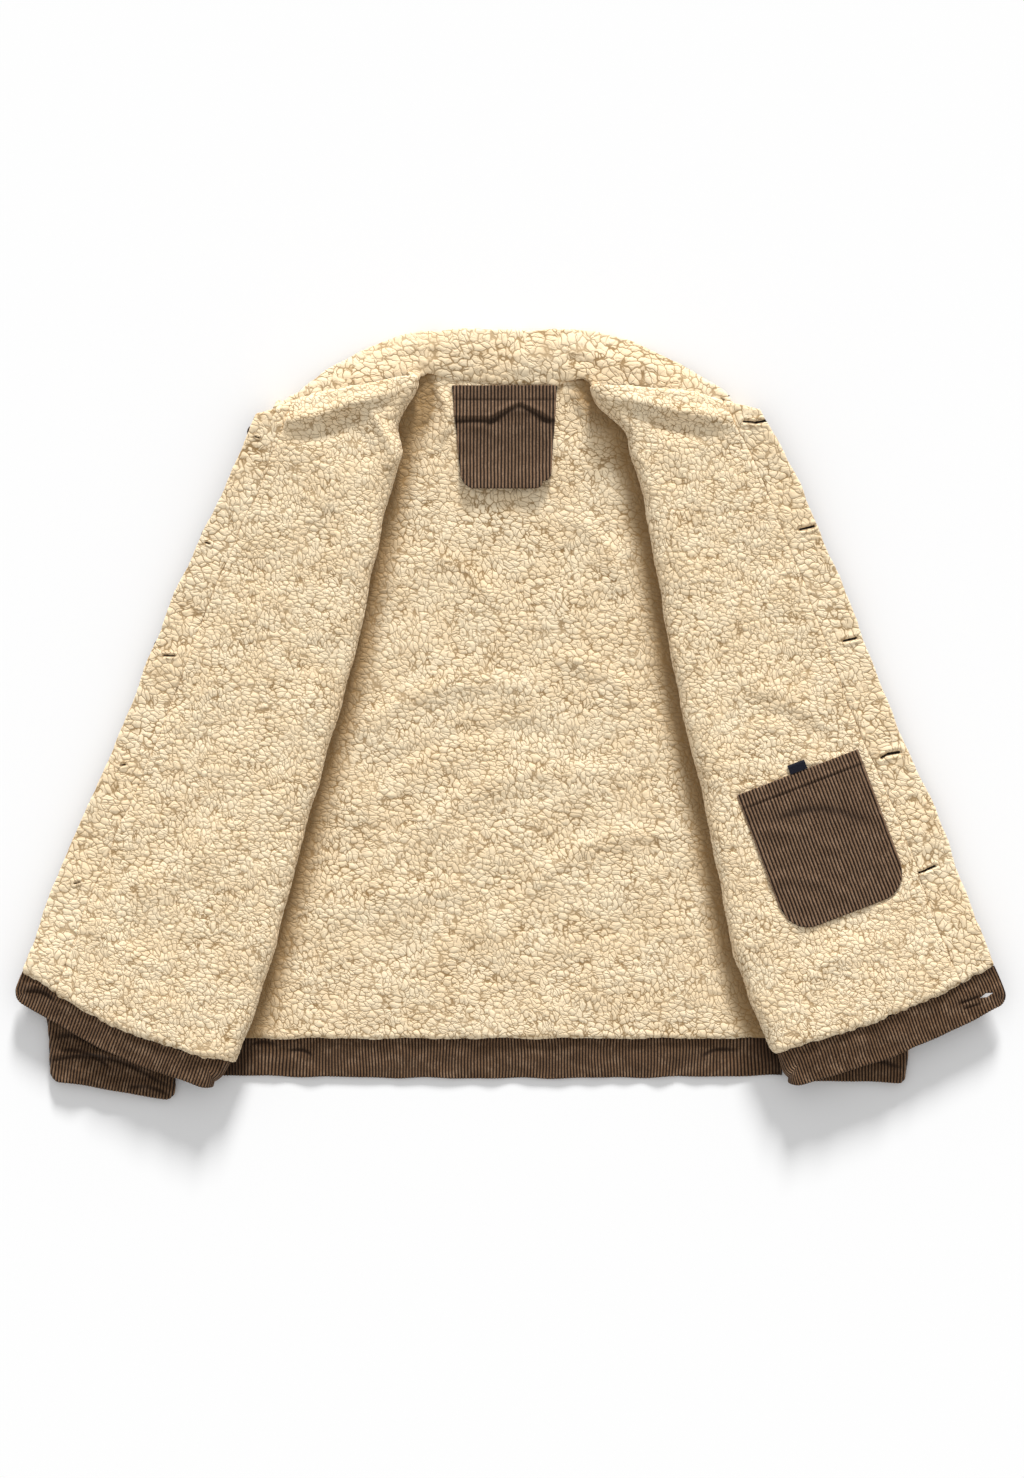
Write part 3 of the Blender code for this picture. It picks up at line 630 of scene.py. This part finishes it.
CREASES = {
    "back_lining": (
        Crease((-0.16, -0.02), (0.02, 0.03), 0.012, 0.0022),
        Crease((-0.15, -0.07), (0.06, -0.02), 0.010, -0.0016),
        Crease((-0.10, -0.12), (0.12, -0.06), 0.014, 0.0020),
        Crease((0.02, -0.17), (0.17, -0.12), 0.012, 0.0022),
        Crease((-0.20, -0.22), (-0.02, -0.18), 0.014, 0.0016),
        Crease((0.03, 0.06), (0.14, 0.00), 0.010, 0.0018),
        Crease((-0.08, 0.16), (-0.01, 0.10), 0.010, 0.0014),
        Crease((0.06, 0.20), (0.11, 0.12), 0.008, 0.0016),
        Crease((-0.071, 0.325), (-0.068, 0.272), 0.005, 0.0032),
        Crease((-0.081, 0.325), (-0.079, 0.285), 0.005, -0.0022),
        Crease((0.062, 0.322), (0.082, 0.270), 0.006, 0.0028),
    ),
    "front_lining_left": (
        Crease((-0.112, 0.324), (-0.236, 0.290), 0.009, 0.0066, 0.02),
        Crease((-0.140, 0.302), (-0.215, 0.274), 0.008, -0.0040, 0.04),
        Crease((-0.138, 0.306), (-0.118, 0.238), 0.007, 0.0042, 0.10),
        Crease((-0.152, 0.284), (-0.140, 0.246), 0.007, -0.0022),
        Crease((-0.180, 0.262), (-0.196, 0.190), 0.012, 0.0016),
        Crease((-0.150, 0.230), (-0.180, 0.060), 0.012, 0.0024, 0.03),
        Crease((-0.185, 0.060), (-0.225, -0.110), 0.012, 0.0024, -0.03),
        Crease((-0.230, -0.120), (-0.270, -0.290), 0.013, 0.0022, 0.04),
        Crease((-0.270, 0.080), (-0.350, -0.020), 0.016, 0.0016),
        Crease((-0.300, -0.120), (-0.380, -0.180), 0.018, 0.0018),
        Crease((-0.330, -0.250), (-0.420, -0.205), 0.012, 0.0016),
    ),
    "front_lining_right": (
        Crease((0.096, 0.321), (0.228, 0.292), 0.009, 0.0060, -0.02),
        Crease((0.130, 0.300), (0.205, 0.278), 0.008, -0.0036, -0.03),
        Crease((0.150, 0.280), (0.185, 0.200), 0.012, 0.0018),
        Crease((0.150, 0.230), (0.185, 0.060), 0.012, 0.0024, 0.03),
        Crease((0.190, 0.060), (0.222, -0.110), 0.012, 0.0024, -0.03),
        Crease((0.225, -0.120), (0.262, -0.280), 0.013, 0.0022, 0.03),
        Crease((0.230, 0.030), (0.320, -0.020), 0.012, 0.0018),
        Crease((0.240, 0.005), (0.330, -0.045), 0.010, -0.0014),
        Crease((0.290, -0.270), (0.400, -0.225), 0.013, 0.0018),
    ),
    "collar_top": (
        Crease((-0.150, 0.343), (-0.050, 0.362), 0.006, -0.0016, 0.05),
        Crease((0.045, 0.360), (0.160, 0.338), 0.006, -0.0018, -0.05),
    ),
    "neck_patch": (
        Crease((-0.066, 0.3145), (0.056, 0.3145), 0.0012, -0.0006, 0.0),
        Crease((-0.060, 0.3040), (0.050, 0.3040), 0.0050, 0.0014, 0.0),
        Crease((-0.070, 0.2985), (-0.012, 0.2985), 0.0030, 0.0018, 0.0),
        Crease((-0.024, 0.2945), (0.011, 0.3135), 0.0030, 0.0018, 0.04),
        Crease((0.007, 0.3140), (0.044, 0.2945), 0.0030, 0.0018, 0.04),
        Crease((-0.070, 0.2935), (-0.012, 0.2935), 0.0024, -0.0009, 0.0),
        Crease((-0.024, 0.2885), (0.011, 0.3085), 0.0024, -0.0009, 0.04),
        Crease((0.007, 0.3090), (0.044, 0.2885), 0.0024, -0.0009, 0.04),
        Crease((0.028, 0.2935), (0.060, 0.2935), 0.0024, -0.0008, 0.0),
        Crease((-0.052, 0.2850), (-0.010, 0.2800), 0.0050, 0.0010),
    ),
    "inside_pocket": (
        Crease((0.2200, -0.0985), (0.3640, -0.0438), 0.0012, -0.0007, 0.0),
        Crease((0.2220, -0.0945), (0.3660, -0.0398), 0.0020, 0.0007, 0.0),
        Crease((0.2350, -0.1150), (0.3400, -0.1500), 0.0060, 0.0012),
        Crease((0.2600, -0.1050), (0.3600, -0.1080), 0.0045, -0.0007),
        Crease((0.2450, -0.1650), (0.3500, -0.1900), 0.0060, 0.0012),
        Crease((0.3050, -0.0700), (0.3300, -0.1600), 0.0050, 0.0009),
    ),
    "waistband_left": (
        Crease((-0.4840, -0.2760), (-0.4540, -0.2850), 0.0020, -0.0016),
        Crease((-0.4820, -0.2700), (-0.4560, -0.2780), 0.0030, 0.0016),
    ),
    "waistband_right": (
        Crease((0.4470, -0.2870), (0.4680, -0.2810), 0.0013, -0.0016, 0.0),
        Crease((0.4500, -0.2930), (0.4700, -0.2880), 0.0013, -0.0010, 0.0),
    ),
    "waistband_back": (
        Crease((-0.2200, -0.3340), (-0.1980, -0.3410), 0.0017, -0.0015),
        Crease((-0.2550, -0.3310), (-0.2300, -0.3290), 0.0020, -0.0012),
        Crease((0.1900, -0.3420), (0.2250, -0.3350), 0.0020, -0.0012),
    ),
    "cuff_left": (
        Crease((-0.4480, -0.3350), (-0.4000, -0.3520), 0.0018, -0.0016),
        Crease((-0.3800, -0.3720), (-0.3420, -0.3790), 0.0018, -0.0016),
        Crease((-0.4600, -0.3450), (-0.3420, -0.3710), 0.0020, -0.0018),
        Crease((-0.4500, -0.3390), (-0.3500, -0.3630), 0.0035, 0.0026),
        Crease((-0.4550, -0.3220), (-0.4050, -0.3330), 0.0026, -0.0018),
        Crease((-0.4500, -0.3160), (-0.4000, -0.3260), 0.0035, 0.0022),
        Crease((-0.4050, -0.3700), (-0.3450, -0.3790), 0.0030, 0.0022),
    ),
    "cuff_right": (
        Crease((0.3000, -0.3510), (0.3930, -0.3530), 0.0022, -0.0016),
        Crease((0.3300, -0.3400), (0.3900, -0.3400), 0.0050, 0.0016),
    ),
}


def painted_shade(points, node):
    """How much painted shadow a point of the back gets, beside the folded fronts and in a spot left of
    the patch.
    """
    if node not in ("back_lining", "waistband_back"):
        return np.zeros(len(points))
    beside = step(-distances(points, ROLLED, SHADOW_REACH), -SHADOW_REACH, -SHADOW_CORE)
    off = (points[:, :2] - np.array(SHADE_SPOT_MIDDLE)) / np.array(SHADE_SPOT_SIZE)
    pit = np.exp(-(off**2).sum(axis=1))
    return np.clip(beside + 0.9 * pit, 0.0, 1.0)


def fleece(spec, material):
    """A fleece piece: rounded, creased, slit and lapped, then raised into curls."""
    obj = rounded_copy("fleece_" + spec.node, spec.node, spec.voxel, 5)
    mesh = obj.data
    points = read(mesh, "co")
    normals = read(mesh, "normal")
    free = step(clearance(points, spec.node, spec.joins), TOUCHING, CLEAR)
    upper = free * (normals[:, 2] > 0.0)
    swell = SWELL_RISE * ripple(points, SWELL_WIDTH, 2.0)
    points[:, 2] += (creased(points, CREASES.get(spec.node, ())) + swell) * upper
    # Painted shadow on the back, beside the folded fronts
    shade = painted_shade(points, spec.node)
    share = parted(points, normals, SLITS.get(spec.node, ()))
    for lap in spec.laps:
        lapped(points, lap)
    points = wavy(points)
    write(mesh, "co", points)
    write(mesh, "rest", points * spec.grain)
    write(mesh, "push", normals * free[:, None])
    write(mesh, "painted_shade", shade)
    write(mesh, "parted", share)
    raise_by_nodes(obj, ground_height, PILE_RISE)
    thinned(obj, spec.most)
    finished(obj, material, spec.node)
    return obj


# A corduroy piece: as for fleece, with its rounds of smoothing and the angle of its ribs in
# degrees, which is None on a waistband that is folded
Ribbed = namedtuple("Ribbed", "node voxel rounds most turn flat held rests")
RIBBED = (
    Ribbed("back_shell", 0.0030, 2, 9000, 0, (0.564, 0.662), "laid", "floor"),
    Ribbed("front_shell_left", 0.0016, 2, 26000, 17, (0.350, 0.690), "folded", "sleeve_top_left"),
    Ribbed("front_shell_right", 0.0016, 2, 26000, -17, (0.350, 0.690), "folded", "sleeve_top_right"),
    Ribbed("waistband_back", 0.0008, 2, 45000, 0, (0.546, 0.041), "laid", "floor"),
    Ribbed("waistband_left", 0.0008, 2, 36000, None, (0.255, 0.042), "folded", "sleeve_top_left"),
    Ribbed("waistband_right", 0.0008, 2, 36000, None, (0.255, 0.042), "folded", "sleeve_top_right"),
    Ribbed("sleeve_top_left", 0.0022, 3, 9000, 20, (0.160, 0.640), "laid", "sleeve_under_left"),
    Ribbed("sleeve_top_right", 0.0022, 3, 9000, -12, (0.135, 0.620), "laid", "sleeve_under_right"),
    Ribbed("sleeve_under_left", 0.0022, 3, 6000, 20, (0.160, 0.640), "laid", "floor"),
    Ribbed("sleeve_under_right", 0.0022, 3, 6000, -12, (0.135, 0.620), "laid", "floor"),
    Ribbed("cuff_left", 0.0010, 3, 26000, -9, (0.255, 0.068), "laid", "floor"),
    Ribbed("cuff_right", 0.0010, 3, 26000, 0, (0.220, 0.068), "laid", "floor"),
    Ribbed("collar_under", 0.0014, 2, 14000, 0, (0.455, 0.075), "laid", "floor"),
    Ribbed("neck_patch", 0.0007, 1, 36000, 0, (0.105, 0.104), "laid", "back_lining"),
    Ribbed("inside_pocket", 0.0007, 1, 60000, 20.8, (0.129, 0.150), "laid", "front_lining_right"),
)
PATCHES = ("neck_patch", "inside_pocket")

# How far the surface of some pieces rises and falls unevenly
RUMPLES = {
    "waistband_back": 0.0007,
    "waistband_left": 0.0008,
    "waistband_right": 0.0008,
    "cuff_left": 0.0014,
    "cuff_right": 0.0012,
    "inside_pocket": 0.0005,
    "neck_patch": 0.0004,
}


def across_straight(points, turn):
    """Each point's distance across ribs that run straight, at a turn in degrees."""
    angle = math.radians(turn)
    return points[:, 0] * math.cos(angle) + points[:, 1] * math.sin(angle)


def across_folded(points, node):
    """Each point's distance across a waistband's ribs, measured round its rolled end."""
    across = hem_direction(node)
    side = 1.0 if node.endswith("right") else -1.0
    along = np.array((-across[1], across[0]))
    along *= side * np.sign(along[0])
    place = points[:, :2] @ along
    roll = 0.5 * (points[:, 2].max() - points[:, 2].min())
    middle = 0.5 * (points[:, 2].max() + points[:, 2].min())
    start = np.percentile(place, 0.2) + roll
    angle = np.arctan2(np.abs(points[:, 2] - middle), np.maximum(start - place, 1e-6))
    rolled = start - roll * (math.pi / 2 - angle)
    return np.where(place < start, rolled, place)


def cut_slit(obj, slit):
    """Cuts a pointed slit right through, wide enough to see the floor in."""
    start, end, width = slit
    start, end = Vector(start), Vector(end)
    side = (end - start).orthogonal().normalized() * width / 2
    middle = (start + end) / 2
    outline = (start, middle - side, end, middle + side)
    points = [(*place, height) for height in (-0.01, 0.06) for place in outline]
    faces = [(3, 2, 1, 0), (4, 5, 6, 7)] + [(i, (i + 1) % 4, (i + 1) % 4 + 4, i + 4) for i in range(4)]
    mesh = bpy.data.meshes.new("slit_cutter")
    mesh.from_pydata(points, [], faces)
    cutter = link(bpy.data.objects.new("slit_cutter", mesh))
    cut = obj.modifiers.new("slit", "BOOLEAN")
    cut.object = cutter
    cut.operation = "DIFFERENCE"
    cut.solver = "EXACT"
    baked(obj)
    bpy.data.objects.remove(cutter)


def ribbed(spec, material):
    """A corduroy piece: rounded, creased and turned at its corners, then raised into ribs.
    Straight ribs are cut off at a turned corner, and a folded waistband's bend with it."""
    obj = rounded_copy("corduroy_" + spec.node, spec.node, spec.voxel, spec.rounds)
    if spec.node == "waistband_right":
        cut_slit(obj, BAND_SLIT)
    mesh = obj.data
    points = read(mesh, "co")
    normals = read(mesh, "normal")
    free = 0.25 + 0.75 * step(clearance(points, spec.node), 0.0003, TOUCHING)
    pitch = PATCH_WALE if spec.node in PATCHES else WALE
    folded = spec.turn is None
    if folded:
        across = across_folded(points, spec.node)
    upper = free * (normals[:, 2] > 0.2)
    bumps = RUMPLES.get(spec.node, 0.0) * ripple(points, 0.012, 4.0)
    creases = CREASES.get(spec.node, ())
    troughs = creased(points, [crease for crease in creases if crease.depth < 0])
    points[:, 2] += (creased(points, creases) + bumps) * upper
    if spec.node == "neck_patch":
        points[:, 2] += PATCH_RAISE * step(-points[:, 1], -PATCH_BEND, -PATCH_FOOT)
    # Painted shade in crease troughs and beside the folded fronts
    shade = np.maximum(-troughs / DARKEST_TROUGH, painted_shade(points, spec.node))
    turned_corners(points, CORNERS.get(spec.node, ()))
    if not folded:
        across = across_straight(points, spec.turn)
    if spec.node == "waistband_back":
        points[:, 0] += BAND_TUCK * np.sign(points[:, 0]) * step(np.abs(points[:, 0]), 0.20, 0.265)
    if spec.node not in PATCHES:
        points = wavy(points)
    write(mesh, "co", points)
    write(mesh, "rest", points)
    write(mesh, "wale", across / pitch)
    write(mesh, "painted_shade", np.clip(shade, 0.0, 1.0))
    write(mesh, "push", normals * free[:, None])
    if spec.voxel <= 0.001:
        raise_by_nodes(obj, wale_height, WALE_RISE)
    thinned(obj, spec.most)
    finished(obj, material, spec.node)
    return obj


def set_stage():
    """A white floor, a soft key light from beyond the collar, and an even white sky."""
    bpy.ops.mesh.primitive_plane_add(size=30.0)
    floor = bpy.context.active_object
    floor.name = "floor"
    made = bpy.data.materials.new("white_floor")
    made.use_nodes = True
    shader = made.node_tree.nodes["Principled BSDF"]
    shader.inputs["Base Color"].default_value = (0.95, 0.95, 0.95, 1.0)
    shader.inputs["Roughness"].default_value = 1.0
    shader.inputs["Specular IOR Level"].default_value = 0.0
    floor.data.materials.append(made)

    sun = bpy.data.lights.new("key", "SUN")
    sun.energy = LIGHT_STRENGTH
    sun.angle = math.radians(LIGHT_SOFTNESS)
    key = link(bpy.data.objects.new("key", sun))
    key.rotation_euler = (-math.radians(90 - LIGHT_ELEVATION), 0.0, math.radians(LIGHT_AZIMUTH))

    world = bpy.data.worlds.new("sky")
    world.use_nodes = True
    sky = world.node_tree.nodes["Background"]
    sky.inputs["Color"].default_value = (1.0, 1.0, 1.0, 1.0)
    sky.inputs["Strength"].default_value = SKY_STRENGTH
    bpy.context.scene.world = world


def set_camera():
    """Straight above the jacket, through a long lens."""
    data = bpy.data.cameras.new("camera")
    data.sensor_fit = "AUTO"
    data.sensor_width = SENSOR
    data.lens = SENSOR * CAMERA_HEIGHT / VIEW_HEIGHT
    data.clip_end = 60.0
    camera = link(bpy.data.objects.new("camera", data))
    camera.location = (*VIEW_MIDDLE, CAMERA_HEIGHT)
    bpy.context.scene.camera = camera
    bpy.context.scene.view_settings.view_transform = "Standard"


def main():
    set_camera()
    set_stage()
    curls = fleece_material()
    for spec in FLEECES:
        fleece(spec, curls)
    cord = corduroy_material("brown_corduroy", RIB, RIB_PALE, GROOVE)
    patch = corduroy_material("patch_corduroy", PATCH_RIB, PATCH_PALE, PATCH_GROOVE)
    for spec in RIBBED:
        ribbed(spec, patch if spec.node in PATCHES else cord)
    shiny = plain_material("button_plastic", BUTTON, 0.35, 0.004)
    navy = plain_material("navy_ribbon", NAVY, 0.8, 0.0006)
    for name, node in NODES.items():
        if name.startswith("button") or name == "pocket_loop":
            node.data.materials.clear()
            node.data.materials.append(navy if name == "pocket_loop" else shiny)


main()
